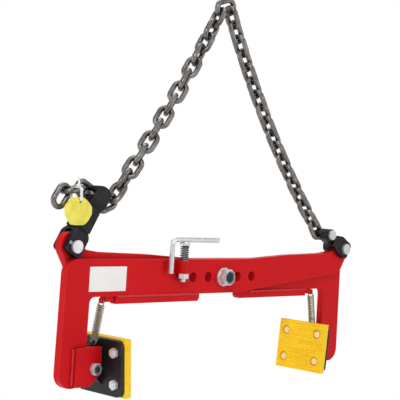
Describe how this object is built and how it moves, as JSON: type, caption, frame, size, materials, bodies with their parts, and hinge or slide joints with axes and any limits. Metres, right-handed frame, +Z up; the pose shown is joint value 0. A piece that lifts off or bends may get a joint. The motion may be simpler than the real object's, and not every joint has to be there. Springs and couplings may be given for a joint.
{
  "type": "stone lifting tongs",
  "caption": "Scissor lifting tongs with chain sling legs, a chain shortener, rubber faced tilting grip pads and a hold-open latch.",
  "frame": {"origin": "lifting point: underside of the top link's upper wire, midway between the two arm plates", "axes": "+X along the tongs' span, towards the gripping end of the rear arm; +Y towards the rear arm; +Z up"},
  "size_m": [0.6531, 0.1074, 0.5954],
  "materials": {
    "red_paint": "gloss powder coat",
    "black_paint": "satin",
    "chain_steel": "oiled, dark",
    "dark_fittings": "satin black",
    "zinc": "zinc plated",
    "spring_steel": "passivated",
    "yellow_rubber": "matt, ribbed",
    "white_plate": "plain",
    "yellow_tag": "plain",
    "white_tie": "plain"
  },
  "bodies": {
    "top_link": {"top_link": "chain_steel"},
    "left_leg": {"left_chain": "chain_steel", "clutch_body": "dark_fittings", "clutch_pin": "zinc", "clutch_clip": "zinc"},
    "loose_end": {"chain_tail": "chain_steel", "tag_tie": "white_tie"},
    "tag": {"chain_tag": "yellow_tag"},
    "rear_arm": {"rear_arm": "red_paint", "rear_hanger_bar": "red_paint", "rear_bracket": "red_paint", "right_pad_bolt": "zinc", "right_pad_nut": "zinc", "right_pad_spring": "spring_steel", "pivot_bolt": "zinc", "pivot_nut": "zinc", "pivot_washers": "zinc"},
    "front_arm": {"front_arm": "red_paint", "front_hanger_bar": "red_paint", "front_bracket": "red_paint", "label_plate": "white_plate", "latch_tube": "red_paint", "latch_spring": "spring_steel", "left_pad_bolt": "zinc", "left_pad_nut": "zinc", "left_pad_spring": "spring_steel"},
    "left_pad": {"left_pad_rubber": "yellow_rubber", "left_pad_plate": "black_paint", "left_pad_lug": "black_paint", "left_pad_studs": "zinc"},
    "right_pad": {"right_pad_rubber": "yellow_rubber", "right_pad_plate": "black_paint", "right_pad_lug": "black_paint", "right_pad_studs": "zinc"},
    "latch_slider": {"latch_washer": "zinc"},
    "latch": {"latch_plunger": "zinc", "latch_nut": "zinc", "latch_rod": "zinc"},
    "right_leg": {"right_chain": "chain_steel", "clevis_half": "dark_fittings", "loop_half": "dark_fittings", "clevis_pin": "zinc", "load_pin": "zinc", "clevis_clips": "zinc"}
  },
  "joints": [
    {"name": "left_leg_swing", "type": "hinge", "parent": "top_link", "child": "left_leg", "pos_m": [-0.00658, 0, -0.00955], "axis": [0, -1, 0], "range_deg": [0, 1.36]},
    {"name": "left_ear", "type": "hinge", "parent": "left_leg", "child": "rear_arm", "pos_m": [-0.27676, 0, -0.37582], "axis": [0, 1, 0], "range_deg": [0, 10.36]},
    {"name": "scissor", "type": "hinge", "parent": "rear_arm", "child": "front_arm", "pos_m": [0.02124, 0, -0.42082], "axis": [0, -1, 0], "range_deg": [0, 18]},
    {"name": "right_ear", "type": "hinge", "parent": "front_arm", "child": "right_leg", "pos_m": [0.31924, 0, -0.37582], "axis": [0, 1, 0], "range_deg": [0, 10.36]},
    {"name": "loose_end", "type": "hinge", "parent": "left_leg", "child": "loose_end", "pos_m": [-0.24746, 0, -0.30154], "axis": [0, 1, 0], "range_deg": [-5, 5]},
    {"name": "tag_swing", "type": "hinge", "parent": "loose_end", "child": "tag", "pos_m": [-0.28272, 0, -0.31286], "axis": [0, 1, 0], "range_deg": [-15, 15]},
    {"name": "left_pad_tilt", "type": "hinge", "parent": "front_arm", "child": "left_pad", "pos_m": [-0.23975, 0, -0.54532], "axis": [0, 1, 0], "range_deg": [-6, 6], "stiffness_Nm_per_rad": 12, "deforming": ["left_pad_spring"]},
    {"name": "right_pad_tilt", "type": "hinge", "parent": "rear_arm", "child": "right_pad", "pos_m": [0.28223, 0, -0.54532], "axis": [0, -1, 0], "range_deg": [-6, 6], "stiffness_Nm_per_rad": 12, "deforming": ["right_pad_spring"]},
    {"name": "latch_press", "type": "slide", "parent": "front_arm", "child": "latch_slider", "axis": [0, 0, -1], "range_m": [0, 0.009], "stiffness_N_per_m": 900, "springref_m": -0.006, "deforming": ["latch_spring"]},
    {"name": "latch_turn", "type": "hinge", "parent": "latch_slider", "child": "latch", "pos_m": [-0.07626, -0.02068, -0.38082], "axis": [0, 0, 1], "range_deg": [0, 180]}
  ],
  "couplings": [
    {"joint": "left_leg_swing", "follows": "scissor", "ratio": 0.07},
    {"joint": "left_ear", "follows": "scissor", "ratio": 0.57},
    {"joint": "right_ear", "follows": "scissor", "ratio": 0.57}
  ]
}
